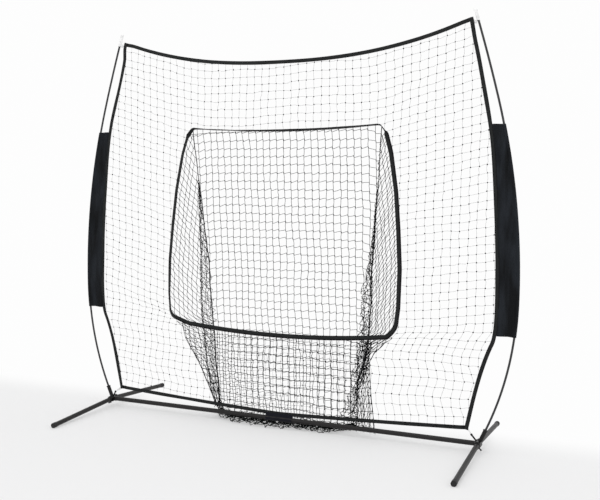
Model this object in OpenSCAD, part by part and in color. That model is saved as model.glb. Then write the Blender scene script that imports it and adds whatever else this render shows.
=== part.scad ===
// Portable catch net: a netting face with a ball pocket, stretched between two
// bowed poles that stand on a steel base with four folding legs.
// Millimetres. +X to the right, +Y away from the player, +Z up, ground at z = 0.

/* [Base] */
// Distance from the middle of the base to each hub
hub_x = 1094; // [1090:1:1098]
// Height of the crossbar's axis above the ground
hub_z = 46; // [45:0.5:47]
// Outside diameter of the crossbar and leg tubes
tube_d = 25; // [24:0.5:25]
// Wall of the crossbar and leg tubes
tube_wall = 1.5; // [1.2:0.1:2]
// Distance of each leg's pivot bolt from the crossbar's axis
pivot_y = 28; // [28:1:32]
// Length of a leg from its pivot to the end of its tube
leg_len = 518; // [480:1:560]
// Slope of the legs below the horizontal
leg_slope = 3.6; // [3.5:0.05:3.7]
// Outside diameter of the rubber foot caps
cap_d = 28; // [27.5:0.5:28.5]

/* [Bow] */
// Diameter of the poles
pole_d = 11; // [10:0.5:11]
// Half the distance between the two socket mouths
mouth_x = 1130; // [1128:1:1132]
// Height of the socket mouths
mouth_z = 121; // [119:1:123]
// Outward lean of the sockets from the vertical
lean = 23.5; // [23:0.1:24]
// Radius of the lower bend
low_r = 1640; // [1620:10:1660]
// Sweep of the lower bend
low_sweep = 22.2; // [22:0.1:22.4]
// Radius of the middle bend
mid_r = 3760; // [3740:10:3780]
// Sweep of the middle bend
mid_sweep = 15.7; // [15.5:0.1:15.9]
// Radius of the upper bend
top_r = 8800; // [8700:50:8900]
// Sweep of the upper bend
top_sweep = 2.9; // [2.8:0.05:3]

/* [Net] */
// Half the width of the net at its top corners
corner_top_x = 999; // [995:1:1001]
// Height of the top corners
corner_top_z = 2142; // [2138:1:2146]
// How far the top edge hangs down in the middle
top_sag = 154; // [100:1:200]
// Half the width of the net at its bottom corners
corner_low_x = 1031; // [1025:1:1035]
// Height of the bottom corners
corner_low_z = 120; // [116:1:124]
// How far the bottom edge hangs down in the middle
low_sag = 50; // [46:1:52]
// Width of the webbing round the net
hem_w = 20; // [16:1:22]
// Lowest point of the side sleeves
sleeve_low_z = 592; // [585:1:600]
// Highest point of the side sleeves
sleeve_top_z = 1632; // [1600:1:1640]

/* [Opening and pocket] */
// Half the width of the opening at its top
open_top_x = 560; // [550:1:570]
// Half the width of the opening at its bottom
open_low_x = 625; // [615:1:635]
// Height of the opening's top edge
open_top_z = 1633; // [1620:1:1650]
// Height of the ends of the opening's bottom edge
open_low_z = 545; // [540:1:560]
// How far the opening's bottom edge hangs down in the middle
open_sag = 38; // [30:1:45]
// Half the width of the pocket where it lies on the ground
base_front_x = 425; // [400:1:440]
// Half the width of the pocket at the back where it lies on the ground
base_back_x = 400; // [380:1:420]
// Depth of the pocket at the ground, from the face of the net
pocket_depth = 190; // [160:1:220]

/* [Hidden] */
$fn = 48;

steel = "#413e3e";
rubber = "#1d1c1c";
black = "#262829";
twine = "#3a3a3c";
white = "#f2f2ee";
zinc = "#9a9a98";

// Base
tube_r = tube_d / 2;
hub_r = 15;              // half the width of a hub and the radius of its ends
hub_h = tube_d;
hub_top = hub_z + hub_h / 2;
core_y = 17.5;           // half the length of the solid middle of a hub
tongue_w = 20;
tongue_h = 12;
slot_h = 12.4;
side_gap = 0.5;          // play between a tongue and the walls of its slot
bolt_r = 4;
bore_r = 4.1;
shoulder = 16.5;         // from a pivot to the start of the leg's round part
tube_start = 18;         // from a pivot to the end of the leg tube
plug_len = 42;
connector_len = 220;
connector_r = tube_r - tube_wall - 0.05;
connector_bore_r = 9;
button_x = 96;
button_r = 4;
button_proud = 3.6;      // how far the button stands out, which is also its travel
flange_back = 5.9;       // inner face of the button's flange, from the tube's axis

// Bow: each arc is given by its centre [x, z], radius and heading angles
low_a = lean - low_sweep;
mid_a = low_a - mid_sweep;
top_a = mid_a - top_sweep;
joint_a = mid_a + 10.2;  // heading where the two pole sections meet
pole_r = pole_d / 2;
ferrule_r = 7;
ferrule_half = 0.84;     // half the ferrule's length, in degrees of the middle bend
function heading(a) = [cos(a), -sin(a)];
low_c = [mouth_x, mouth_z] - low_r * heading(lean);
low_end = low_c + low_r * heading(low_a);
mid_c = low_end - mid_r * heading(low_a);
mid_end = mid_c + mid_r * heading(mid_a);
top_c = mid_end - top_r * heading(mid_a);
tip_a = top_a + 0.34;    // heading where the white tip pockets begin
tip = top_c + top_r * heading(tip_a);
tip_pocket_len = 58;
tip_pocket_r = 8.5;
function low_angle(z) = asin((low_c[1] - z) / low_r);
function mid_angle(z) = asin((mid_c[1] - z) / mid_r);

// Net
hem_t = 3;
net_t = 2;
gap = 0.3;
// Side edge of the net as [height, half width] pairs, from the bottom corner up
side_edge = [
    [corner_low_z, corner_low_x], [350, 1080], [500, 1125], [600, 1170], [1000, 1165],
    [1400, 1140], [1600, 1120], [1800, 1080], [2000, 1040], [corner_top_z, corner_top_x]
];
function side_x(z) = lookup(z, side_edge);
// Two heights, and between them the heights of an edge's points
function heights(edge, low, high) =
    concat([low], [for (p = edge) if (p[0] > low && p[0] < high) p[0]], [high]);
function top_z(x) = corner_top_z - top_sag * (1 - pow(abs(x) / corner_top_x, 2.4));
function low_z(x) = corner_low_z - low_sag * (1 - pow(abs(x) / corner_low_x, 1.2));
open_shift = -22;        // the weight of the pocket draws the opening's bottom edge aside
open_hem_w = 16;
open_top_hem_w = 8;
// Side edge of the opening as [height, half width] pairs, with its rounded corners
open_edge = [
    [open_low_z, open_low_x], [570, 655], [600, 675], [700, 685], [900, 685], [1100, 670],
    [1300, 650], [1500, 615], [1600, 585], [open_top_z, open_top_x]
];
function open_x(z, s) =
    s * lookup(z, open_edge) + open_shift * (open_top_z - z) / (open_top_z - open_low_z);
function open_bottom_z(x) = open_low_z - open_sag * (1 - pow((x - open_shift) / open_low_x, 2));
tunnel_r = 9.6;
tunnel_bore_r = 7.6;

// Pocket
seam_z = 590;            // height of the fold in the pocket's sides
seam_x = 480;
mid_z = 1100;            // height where the opening's side edges bow out the most
back_top_x = 572;
back_top_y = 10;
back_top_z = 1620;
floor_t = 4;
wall_low_z = 8;
back_slope = atan((pocket_depth - back_top_y) / (back_top_z - wall_low_z));
function back_y(z) = back_top_y + (back_top_z - z) * tan(back_slope);
front_top_y = 5;
front_low_y = 26;

// ---- Helpers

// The left side is the mirror image of the right one
module side(s) {
    if (s < 0) mirror([1, 0, 0]) children();
    else children();
}

// A flat plate standing in the plane of the net, from an outline in X and Z
module plate(outline, thick, y_mid = 0) {
    translate([0, y_mid + thick / 2, 0]) rotate([90, 0, 0]) linear_extrude(thick) polygon(outline);
}

// A closed sheet between two parallel copies of a folded outline, from its triangles
module sheet(points, triangles, shift, flip) {
    n = len(points);
    outer = [for (t = triangles) [t[2] + n, t[1] + n, t[0] + n]];
    rim = [for (i = [0:n - 1]) let (j = (i + 1) % n) each [[i, i + n, j], [j, i + n, j + n]]];
    faces = concat(triangles, outer, rim);
    polyhedron(
        concat(points, [for (p = points) p + shift]),
        [for (f = faces) flip ? [f[2], f[1], f[0]] : f]
    );
}

// A tube or rod along X
module tube_x(x0, x1, r, bore = 0) {
    translate([x0, 0, 0]) rotate([0, 90, 0]) difference() {
        cylinder(r = r, h = x1 - x0);
        if (bore > 0) translate([0, 0, -1]) cylinder(r = bore, h = x1 - x0 + 2);
    }
}

// A rod of radius r along one of the bow's arcs
module bow_arc(c, big_r, a_from, a_to, r) {
    translate([c[0], 0, c[1]]) rotate([90, 0, 0]) rotate([0, 0, -a_from])
        rotate_extrude(angle = a_from - a_to, $fn = 720) translate([big_r, 0]) circle(r, $fn = 32);
}

// Places a leg's own frame, with +X along the leg, at its pivot on the right side
module at_pivot(front) {
    translate([hub_x, (front ? -1 : 1) * pivot_y, hub_z]) rotate([0, 0, front ? -90 : 90]) children();
}

// Places a frame at a socket's mouth, with +Z along the pole
module at_mouth() {
    translate([mouth_x, 0, mouth_z]) rotate([0, lean, 0]) children();
}

// A rod of radius r from a to b that ends in a bead of radius bead
module rod(a, b, r, bead) {
    d = b - a;
    h = norm(d);
    translate(a) rotate([0, acos(d[2] / h), atan2(d[1], d[0])]) rotate_extrude() polygon([
        [0, 0], [r, 0], [r, h - bead], [bead - 0.8, h - bead + 1.6], [bead, h], [bead, h + 1],
        [bead - 1.2, h + bead - 1], [bead / 2, h + bead], [0, h + bead]
    ]);
}

// ---- Base

module hub() {
    color(steel) difference() {
        union() {
            translate([hub_x - hub_r, -pivot_y, hub_z - hub_h / 2]) cube([2 * hub_r, 2 * pivot_y, hub_h]);
            for (y = [-pivot_y, pivot_y])
                translate([hub_x, y, hub_z - hub_h / 2]) cylinder(r = hub_r, h = hub_h);
        }
        for (m = [0, 1]) mirror([0, m, 0]) {
            translate([hub_x - hub_r - 1, -pivot_y - hub_r - 1, hub_z - slot_h / 2])
                cube([hub_r + 1 + tongue_w / 2 + side_gap, pivot_y + hub_r + 1 - core_y, slot_h]);
            translate([hub_x, -pivot_y, hub_z - hub_h]) cylinder(r = bore_r, h = 2 * hub_h);
        }
    }
}

module crossbar(drilled_x) {
    color(steel) difference() {
        translate([0, 0, hub_z]) tube_x(0.2, hub_x - hub_r, tube_r, tube_r - tube_wall);
        translate([drilled_x, 0, hub_z]) rotate([-90, 0, 0]) cylinder(r = button_r + 0.3, h = tube_r + 5);
    }
}

module crossbar_connector() {
    color(zinc) difference() {
        translate([0, 0, hub_z]) tube_x(-connector_len / 2, connector_len / 2, connector_r, connector_bore_r);
        for (x = [-button_x, button_x])
            translate([x, 0, hub_z]) rotate([-90, 0, 0]) cylinder(r = button_r + 0.3, h = tube_r + 5);
    }
}

module connector_rivet() {
    color(zinc) translate([-button_x, 0, hub_z]) rotate([-90, 0, 0]) union() {
        translate([0, 0, flange_back]) cylinder(r = button_r + 0.25, h = tube_r - flange_back);
        translate([0, 0, flange_back]) cylinder(r = button_r + 1.2, h = 1.2);
        translate([0, 0, tube_r]) cylinder(r1 = button_r + 1.6, r2 = button_r, h = 1.6);
    }
}

module snap_button() {
    color(zinc) translate([button_x, 0, hub_z]) rotate([-90, 0, 0]) union() {
        translate([0, 0, flange_back]) cylinder(r = button_r + 1.2, h = 1.2);
        translate([0, 0, flange_back]) cylinder(r = button_r, h = tube_r + button_proud - 1 - flange_back);
        translate([0, 0, tube_r + button_proud - 1]) cylinder(r1 = button_r, r2 = button_r - 1, h = 1);
    }
}

// A folded strip of spring steel inside the connector, one arm under the button
module snap_spring() {
    bend_x = button_x - 42;
    arm_end = button_x + 6;
    strip = 0.8;
    color(zinc) translate([0, 0, hub_z - 3]) linear_extrude(6) polygon([
        [bend_x, -1.5], [arm_end - 14, -8.4], [arm_end, -8.4], [arm_end, -8.4 + strip],
        [arm_end - 14, -8.4 + strip], [bend_x + 1.5, -0.2], [arm_end - 14, flange_back - 0.1 - strip],
        [arm_end, flange_back - 0.1 - strip], [arm_end, flange_back - 0.1],
        [arm_end - 14, flange_back - 0.1], [bend_x, 1.5]
    ]);
}

module leg(front) {
    color(steel) at_pivot(front) rotate([0, leg_slope, 0])
        tube_x(tube_start, leg_len, tube_r, tube_r - tube_wall);
}

// The flat tongue that turns in the hub's slot, and the plug that fills the tube's end
module tongue(front) {
    color(steel) at_pivot(front) difference() {
        union() {
            translate([0, 0, -tongue_h / 2]) cylinder(r = tongue_w / 2, h = tongue_h);
            translate([0, -tongue_w / 2, -tongue_h / 2]) cube([shoulder + 1, tongue_w, tongue_h]);
            rotate([0, leg_slope, 0]) {
                tube_x(shoulder, tube_start, tube_r);
                tube_x(tube_start, tube_start + plug_len, tube_r - tube_wall);
            }
        }
        translate([0, 0, -tongue_h]) cylinder(r = bore_r, h = 2 * tongue_h);
    }
}

// A rubber cap over the end of a leg, worn flat where it stands on the ground
module foot(front) {
    color(rubber) difference() {
        at_pivot(front) rotate([0, leg_slope, 0]) difference() {
            union() {
                tube_x(leg_len - 20, leg_len + 4, cap_d / 2);
                tube_x(leg_len + 4, leg_len + 6, cap_d / 2 - 1.5);
            }
            tube_x(leg_len - 21, leg_len, tube_r);
        }
        translate([0, -1000, -20]) cube([2000, 2000, 20]);
    }
}

module pivot_bolts() {
    color(zinc) for (s = [-1, 1], y = [-pivot_y, pivot_y]) translate([s * hub_x, y, 0]) {
        translate([0, 0, hub_top - hub_h]) cylinder(r = bolt_r, h = hub_h);
        translate([0, 0, hub_top - hub_h - 10]) cylinder(r = bolt_r, h = 10);
        translate([0, 0, hub_top]) cylinder(r = 7.5, h = 5.3, $fn = 6);
    }
}

module pivot_nuts() {
    color(zinc) for (s = [-1, 1], y = [-pivot_y, pivot_y])
        translate([s * hub_x, y, hub_top - hub_h - 8]) difference() {
            cylinder(r = 7.5, h = 8, $fn = 6);
            translate([0, 0, -1]) cylinder(r = bolt_r, h = 10);
        }
}

module socket() {
    color(steel) difference() {
        at_mouth() translate([0, 0, -90]) difference() {
            cylinder(r = 10.5, h = 82);
            translate([0, 0, -1]) cylinder(r = 9, h = 84);
        }
        translate([1000, -50, 0]) cube([200, 100, hub_top]);
    }
}

module socket_liner() {
    color(black) at_mouth() difference() {
        union() {
            translate([0, 0, -8]) cylinder(r = 12, h = 5);
            translate([0, 0, -56]) cylinder(r = 9, h = 48);
        }
        translate([0, 0, -54]) cylinder(r = pole_r, h = 60);
    }
}

// A bent rod with a beaded end, and its tail under the hub
module net_hook() {
    color(rubber) {
        rod([hub_x - 8, -10, hub_top + 2.8], [hub_x - 31, -20, 93], 4.2, 5.8);
        rod([hub_x + 4, -14, hub_top - hub_h - 3], [hub_x + 17, -18, 20.5], 3.3, 4.4);
    }
}

// ---- Bow

// A hair-thin wrap where two bends of a pole meet
module wrap_ring(p, a) {
    translate([p[0], 0, p[1]]) rotate([0, a, 0]) translate([0, 0, -2]) cylinder(r = pole_r + 0.1, h = 4);
}

module lower_pole() {
    color(black) union() {
        at_mouth() translate([0, 0, -54]) cylinder(r = pole_r, h = 54, $fn = 32);
        bow_arc(low_c, low_r, lean, low_a, pole_r);
        bow_arc(mid_c, mid_r, low_a, joint_a, pole_r);
        wrap_ring([mouth_x, mouth_z], lean);
        wrap_ring(low_end, low_a);
    }
}

module upper_pole() {
    color(black) union() {
        bow_arc(mid_c, mid_r, joint_a - 0.01, mid_a, pole_r);
        bow_arc(top_c, top_r, mid_a, top_a, pole_r);
        wrap_ring(mid_end, mid_a);
    }
}

module ferrule() {
    color(zinc) difference() {
        bow_arc(mid_c, mid_r, joint_a + ferrule_half, joint_a - ferrule_half, ferrule_r);
        bow_arc(mid_c, mid_r, joint_a + 1, joint_a - 1, pole_r);
    }
}

// The white webbing pocket that holds the tip of a pole
module tip_pocket() {
    color(white) translate([tip[0], 0, tip[1]]) rotate([0, tip_a, 0]) difference() {
        cylinder(r = tip_pocket_r, h = tip_pocket_len);
        translate([0, 0, -1]) cylinder(r = pole_r + 0.5, h = tip_pocket_len - 3);
    }
}

// ---- Net

module side_sleeve() {
    low_from = low_angle(sleeve_low_z);
    mid_to = mid_angle(sleeve_top_z);
    edge = [for (z = heights(side_edge, sleeve_low_z + 8, sleeve_top_z))
        [side_x(z) + hem_w / 2 + gap, z]];
    mid_run = [for (i = [0:12]) mid_c + mid_r * heading(mid_to + (low_a - mid_to) * i / 12)];
    low_run = [for (i = [1:5]) low_c + low_r * heading(low_a + (low_from - low_a) * i / 5)];
    color(black) difference() {
        union() {
            plate(concat(edge, mid_run, low_run), hem_t);
            bow_arc(low_c, low_r, low_from, low_a, tunnel_r);
            bow_arc(mid_c, mid_r, low_a, mid_to, tunnel_r);
        }
        bow_arc(low_c, low_r, low_from + 1, low_a, tunnel_bore_r);
        bow_arc(mid_c, mid_r, low_a, mid_to - 1, tunnel_bore_r);
    }
}

module side_hem() {
    zs = concat(
        [corner_low_z - hem_w / 2], [for (i = [1:len(side_edge) - 2]) side_edge[i][0]],
        [corner_top_z + hem_w / 2]
    );
    inner = [for (z = zs) [side_x(z) - hem_w / 2, z]];
    outer = [for (i = [len(zs) - 1:-1:0]) [side_x(zs[i]) + hem_w / 2, zs[i]]];
    color(black) plate(concat(inner, outer), hem_t);
}

module top_hem() {
    half = corner_top_x - hem_w / 2 - 3;
    xs = [for (i = [-12:12]) half * i / 12];
    color(black) plate(concat(
        [for (x = xs) [x, top_z(x) + hem_w / 2]],
        [for (i = [len(xs) - 1:-1:0]) [xs[i], top_z(xs[i]) - hem_w / 2]]
    ), hem_t);
}

module bottom_hem() {
    half = corner_low_x - hem_w / 2 - 3;
    xs = [for (i = [-10:10]) half * i / 10];
    color(black) plate(concat(
        [for (x = xs) [x, low_z(x) + hem_w / 2]],
        [for (i = [len(xs) - 1:-1:0]) [xs[i], low_z(xs[i]) - hem_w / 2]]
    ), hem_t);
}

// Short webbing from a top corner of the net to its tip pocket
module top_tie() {
    z_mid = corner_top_z - 4;
    from_x = side_x(z_mid - 10) + hem_w / 2 + 3;
    color(white) difference() {
        translate([from_x, -1, z_mid - 10]) cube([40, 2, 20]);
        translate([tip[0], 0, tip[1]]) rotate([0, tip_a, 0]) translate([-tip_pocket_r, -5, -30])
            cube([60, 10, 100]);
    }
}

// Short webbing from a bottom corner of the net to the hook's ball
module bottom_tie() {
    from = [corner_low_x + hem_w / 2 + 5, -2, corner_low_z - 4];
    to = [hub_x - 39, -15, 101];
    d = to - from;
    color(white) translate(from) rotate([0, atan2(-d[2], d[0]), atan2(d[1], d[0])])
        translate([0, -1, -7]) cube([norm(d), 2, 14]);
}

module opening_side_hem(s) {
    zs = concat(
        [open_low_z + hem_w / 2 + 1], [for (i = [1:len(open_edge) - 2]) open_edge[i][0]],
        [open_top_z - open_top_hem_w / 2 - gap]
    );
    color(black) plate(concat(
        [for (z = zs) [open_x(z, s) - open_hem_w / 2, z]],
        [for (i = [len(zs) - 1:-1:0]) [open_x(zs[i], s) + open_hem_w / 2, zs[i]]]
    ), hem_t);
}

module opening_top_hem() {
    half = open_top_x + open_hem_w / 2 - 1;
    color(black) translate([-half, -6, open_top_z - open_top_hem_w / 2])
        cube([2 * half, 12, open_top_hem_w]);
}

module opening_bottom_hem() {
    half = open_low_x + open_hem_w / 2 - 2;
    xs = [for (i = [-8:8]) open_shift + half * i / 8];
    color(black) plate(concat(
        [for (x = xs) [x, open_bottom_z(x) - hem_w / 2]],
        [for (i = [len(xs) - 1:-1:0]) [xs[i], open_bottom_z(xs[i]) + hem_w / 2]]
    ), hem_t);
}

// Netting above and below the opening, over the full width
module net_top() {
    low = open_top_z + open_top_hem_w / 2 + gap;
    half = corner_top_x - hem_w / 2 - 4;
    top_run = [for (i = [-12:12]) let (x = half * i / 12) [x, top_z(x) - hem_w / 2 - gap]];
    up = [for (z = heights(side_edge, low, corner_top_z - 50)) [side_x(z) - hem_w / 2 - gap, z]];
    color(twine) plate(concat(
        [for (p = up) [-p[0], p[1]]], top_run, [for (i = [len(up) - 1:-1:0]) up[i]]
    ), net_t);
}

module net_bottom() {
    high = open_low_z - hem_w / 2 - 3;
    half = corner_low_x - hem_w / 2 - 2;
    low_run = [for (i = [-10:10]) let (x = half * i / 10) [x, low_z(x) + hem_w / 2 + gap]];
    up = [for (z = heights(side_edge, corner_low_z + 30, high)) [side_x(z) - hem_w / 2 - gap, z]];
    top_run = [for (i = [8:-1:-8]) let (x = open_shift + open_low_x * i / 8)
        [x, open_bottom_z(x) - hem_w / 2 - 3]];
    color(twine) plate(concat(
        [for (i = [len(up) - 1:-1:0]) [-up[i][0], up[i][1]]], low_run, up, top_run
    ), net_t);
}

// Netting between the opening and the net's edge on one side
module net_side(s) {
    low = open_low_z - hem_w / 2;
    high = open_top_z + open_top_hem_w / 2;
    edge = [for (z = heights(side_edge, low, high)) [s * (side_x(z) - hem_w / 2 - gap), z]];
    inner = [for (i = [len(open_edge) - 1:-1:0]) let (z = open_edge[i][0])
        [open_x(z, s) + s * (open_hem_w / 2 + gap), z]];
    color(twine) plate(concat(
        edge, [[open_x(high, s) + s * (open_hem_w / 2 + gap), high]], inner,
        [[open_x(low, s) + s * (open_hem_w / 2 + gap), low]]
    ), net_t);
}

// ---- Pocket

module pocket_back() {
    run = norm([back_top_z - wall_low_z, pocket_depth - back_top_y]);
    fold = run * (back_top_z - seam_z) / (back_top_z - wall_low_z);
    color(twine) translate([0, back_top_y, back_top_z]) rotate([back_slope, 0, 0])
        translate([0, net_t, 0]) rotate([90, 0, 0]) linear_extrude(net_t) polygon([
            [-back_top_x, 0], [back_top_x, 0], [seam_x, -fold], [base_back_x, -run],
            [-base_back_x, -run], [-seam_x, -fold]
        ]);
}

// A side of the pocket: a folded sheet from the opening's edge back to the seam
module pocket_side(s) {
    mouth_low_z = open_low_z - hem_w / 2;
    color(twine) sheet([
        [s * (back_top_x + 1), 5, back_top_z],
        [open_x(mid_z, s), 5, mid_z],
        [open_x(mouth_low_z, s), 5, mouth_low_z],
        [s * base_front_x, front_low_y, wall_low_z],
        [s * (base_back_x + 1), pocket_depth, wall_low_z],
        [s * (seam_x + 1), back_y(seam_z), seam_z]
    ], [[1, 5, 0], [2, 5, 1], [4, 5, 2], [3, 4, 2]], [s * 2.5, 0, 0], s > 0);
}

// The front of the pocket below the opening, behind the crossbar
module pocket_front() {
    high = open_low_z - hem_w / 2 - 6;
    slope = atan((front_low_y - front_top_y) / (high - wall_low_z));
    run = norm([front_low_y - front_top_y, high - wall_low_z]);
    color(twine) translate([0, front_top_y, high]) rotate([slope, 0, 0])
        translate([0, net_t, 0]) rotate([90, 0, 0]) linear_extrude(net_t) polygon([
            [open_x(high, -1) + 12, 0], [open_x(high, 1) - 12, 0],
            [base_front_x - 12, -run], [-base_front_x + 12, -run]
        ]);
}

module pocket_floor() {
    color(twine) linear_extrude(floor_t) polygon([
        [-base_front_x, front_low_y], [base_front_x, front_low_y],
        [base_back_x, pocket_depth], [-base_back_x, pocket_depth]
    ]);
}

// A wide wrap that ties the bottom edge of the net to the crossbar
module centre_strap() {
    module wrap(r, half_top, high) {
        translate([0, hub_z]) circle(r);
        polygon([[-r, hub_z], [r, hub_z], [half_top, high], [-half_top, high]]);
    }
    seam_top = low_z(80) + hem_w / 2 - 2;
    color(black) translate([-80, 0, 0]) rotate([90, 0, 90]) linear_extrude(160) difference() {
        wrap(tube_r + 2.2, hem_t / 2 + 2.2, seam_top);
        wrap(tube_r + 0.3, hem_t / 2 + 0.3, seam_top + 0.1);
    }
}

side(-1) hub();  // left_hub
side(1) hub();  // right_hub
side(-1) crossbar(button_x);  // left_crossbar
side(1) crossbar(button_x);  // right_crossbar
crossbar_connector();
connector_rivet();
snap_button();
snap_spring();
side(-1) leg(true);  // left_front_leg
side(-1) leg(false);  // left_rear_leg
side(1) leg(true);  // right_front_leg
side(1) leg(false);  // right_rear_leg
side(-1) tongue(true);  // left_front_tongue
side(-1) tongue(false);  // left_rear_tongue
side(1) tongue(true);  // right_front_tongue
side(1) tongue(false);  // right_rear_tongue
side(-1) foot(true);  // left_front_foot
side(-1) foot(false);  // left_rear_foot
side(1) foot(true);  // right_front_foot
side(1) foot(false);  // right_rear_foot
pivot_bolts();
pivot_nuts();
side(-1) socket();  // left_socket
side(1) socket();  // right_socket
side(-1) socket_liner();  // left_socket_liner
side(1) socket_liner();  // right_socket_liner
side(-1) lower_pole();  // left_lower_pole
side(1) lower_pole();  // right_lower_pole
side(-1) upper_pole();  // left_upper_pole
side(1) upper_pole();  // right_upper_pole
side(-1) ferrule();  // left_ferrule
side(1) ferrule();  // right_ferrule
side(-1) net_hook();  // left_net_hook
side(1) net_hook();  // right_net_hook
side(-1) tip_pocket();  // left_tip_pocket
side(1) tip_pocket();  // right_tip_pocket
side(-1) top_tie();  // left_top_tie
side(1) top_tie();  // right_top_tie
side(-1) bottom_tie();  // left_bottom_tie
side(1) bottom_tie();  // right_bottom_tie
side(-1) side_sleeve();  // left_sleeve
side(1) side_sleeve();  // right_sleeve
top_hem();
bottom_hem();
side(-1) side_hem();  // left_hem
side(1) side_hem();  // right_hem
opening_top_hem();
opening_bottom_hem();
opening_side_hem(-1);  // opening_left_hem
opening_side_hem(1);  // opening_right_hem
net_top();
net_bottom();
net_side(-1);  // net_left
net_side(1);  // net_right
pocket_back();
pocket_side(-1);  // pocket_left
pocket_side(1);  // pocket_right
pocket_front();
pocket_floor();
centre_strap();
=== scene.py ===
"""Looks for a portable catch net: netting, webbing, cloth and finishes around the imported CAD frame.

Metres, in the CAD's frame: +X right, +Y away from the player, +Z up, ground at z = 0.
"""

import math

import bpy
import numpy as np
from mathutils import Matrix, Vector


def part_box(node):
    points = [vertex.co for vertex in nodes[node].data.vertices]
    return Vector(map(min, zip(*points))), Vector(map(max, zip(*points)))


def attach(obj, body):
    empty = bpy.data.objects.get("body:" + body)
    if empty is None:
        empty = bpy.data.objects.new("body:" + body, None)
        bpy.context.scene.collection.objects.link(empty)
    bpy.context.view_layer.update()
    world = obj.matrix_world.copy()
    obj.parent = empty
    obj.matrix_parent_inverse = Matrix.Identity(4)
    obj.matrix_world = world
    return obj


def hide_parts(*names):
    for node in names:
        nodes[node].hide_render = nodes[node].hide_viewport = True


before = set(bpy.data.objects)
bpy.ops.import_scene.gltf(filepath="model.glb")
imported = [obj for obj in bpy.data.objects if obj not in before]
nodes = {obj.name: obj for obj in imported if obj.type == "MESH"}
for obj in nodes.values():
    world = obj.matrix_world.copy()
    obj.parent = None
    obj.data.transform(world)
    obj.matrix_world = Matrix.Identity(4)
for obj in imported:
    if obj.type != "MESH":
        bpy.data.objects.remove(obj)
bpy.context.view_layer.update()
rng = np.random.default_rng(11)

MESH = 0.044          # side of one square of the netting
FACE_TWINE = 0.00045  # radius of the face net's twine
POCKET_TWINE = 0.00128
HEM_W = 0.020         # width of the webbing round the face net
EDGE_W = 0.025        # width of the webbing round the opening
OPENING_CROWN = 0.021  # how far the middle of the opening's top edge hangs below its corners
HEM_T = 0.0032        # thickness of the webbing round the face net
EDGE_T = 0.0036       # thickness of the webbing round the opening
LAP = 0.0036          # how far the top and bottom hems step back behind the side hems
STITCH = 0.0004       # radius of a stitch
CLEAR = 0.004         # the least height of the pocket's knots above the ground
BACKDROP = (0.985, 0.985, 0.985, 1)


# ---- Camera, floor and light

def new_object(name, data):
    made = bpy.data.objects.new(name, data)
    bpy.context.scene.collection.objects.link(made)
    return made


def make_camera():
    """The main view: from the front, a little to the right, just above mid height."""
    azimuth, elevation, roll = (math.radians(a) for a in (22.95, 3.63, 0.695))
    target, distance = Vector((0.1135, 0, 0.981)), 4.531
    back = Vector((
        math.sin(azimuth) * math.cos(elevation),
        -math.cos(azimuth) * math.cos(elevation),
        math.sin(elevation),
    ))
    level = Vector((math.cos(azimuth), math.sin(azimuth), 0))
    up = back.cross(level)
    right = level * math.cos(roll) + up * math.sin(roll)
    up = back.cross(right)
    data = bpy.data.cameras.new("camera")
    data.sensor_width = 36
    data.lens = 50.5
    camera = new_object("camera", data)
    camera.matrix_world = Matrix.Translation(target + back * distance) @ Matrix(
        (right, up, back)
    ).transposed().to_4x4()
    bpy.context.scene.camera = camera


def make_light():
    """A white world and one soft light overhead."""
    bpy.context.scene.view_settings.view_transform = "Standard"
    world = bpy.data.worlds.new("studio")
    bpy.context.scene.world = world
    world.use_nodes = True
    background = world.node_tree.nodes["Background"]
    background.inputs["Color"].default_value = BACKDROP
    background.inputs["Strength"].default_value = 1.0
    data = bpy.data.lights.new("top_light", "AREA")
    data.shape = "SQUARE"
    data.size = 3.6
    data.energy = 42
    lamp = new_object("top_light", data)
    lamp.location = (0.4, -1.2, 4.6)
    aim = Vector((0, 0, 0.4))
    lamp.rotation_euler = (aim - lamp.location).to_track_quat("-Z", "Y").to_euler()


def make_floor():
    """A pale disc just under the ground that partly glows with the backdrop's white. A share of at
    least 0.35 glows everywhere, painted light that thins the shadows on it. All of it glows far off
    and behind the net, where it melts into the white backdrop.
    """
    rings, spokes, reach = 24, 64, 7.0
    turns = np.linspace(0, 2 * math.pi, spokes, endpoint=False)
    ring = np.stack([np.cos(turns), np.sin(turns), 0 * turns], 1)
    radii = np.linspace(0, reach, rings + 1)[1:]
    points = np.concatenate([[[0, 0, 0]], *[ring * r for r in radii]])
    points[:, 2] = -0.0005
    near = list(range(spokes))
    after = near[1:] + near[:1]
    faces = [(0, 1 + a, 1 + b) for a, b in zip(near, after)]
    for low in range(1, 1 + (rings - 1) * spokes, spokes):
        high = low + spokes
        faces += [(low + a, high + a, high + b, low + b) for a, b in zip(near, after)]
    mesh = bpy.data.meshes.new("floor")
    mesh.from_pydata(points.tolist(), [], faces)
    floor = new_object("floor", mesh)

    paper = Finish("floor_paper_with_glow", (0.748, 0.748, 0.752), 0.75, specular=0.1)
    place = paper.place.outputs["Object"]
    far = paper.node("ShaderNodeVectorMath", operation="LENGTH")
    paper.link(place, far.inputs[0])
    split = paper.node("ShaderNodeSeparateXYZ")
    paper.link(place, split.inputs["Vector"])
    # The share that glows: painted light, at least 0.35 anywhere, which thins the shadows, rising to
    # all of it far off and behind the net.
    glow_shares = [
        paper.ramp(value, start, end, low=0.35, kind="SMOOTHSTEP")
        for value, start, end in ((far.outputs["Value"], 3.0, 6.5), (split.outputs["Y"], 0.0, 0.45))
    ]
    glow = paper.node("ShaderNodeEmission", Color=BACKDROP)
    mix = paper.node("ShaderNodeMixShader")
    paper.link(paper.math("MAXIMUM", *glow_shares), mix.inputs["Fac"])
    paper.link(paper.shader.outputs["BSDF"], mix.inputs[1])
    paper.link(glow.outputs["Emission"], mix.inputs[2])
    paper.link(mix.outputs["Shader"], paper.tree.nodes["Material Output"].inputs["Surface"])
    mesh.materials.append(paper.material)


# ---- Materials

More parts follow.
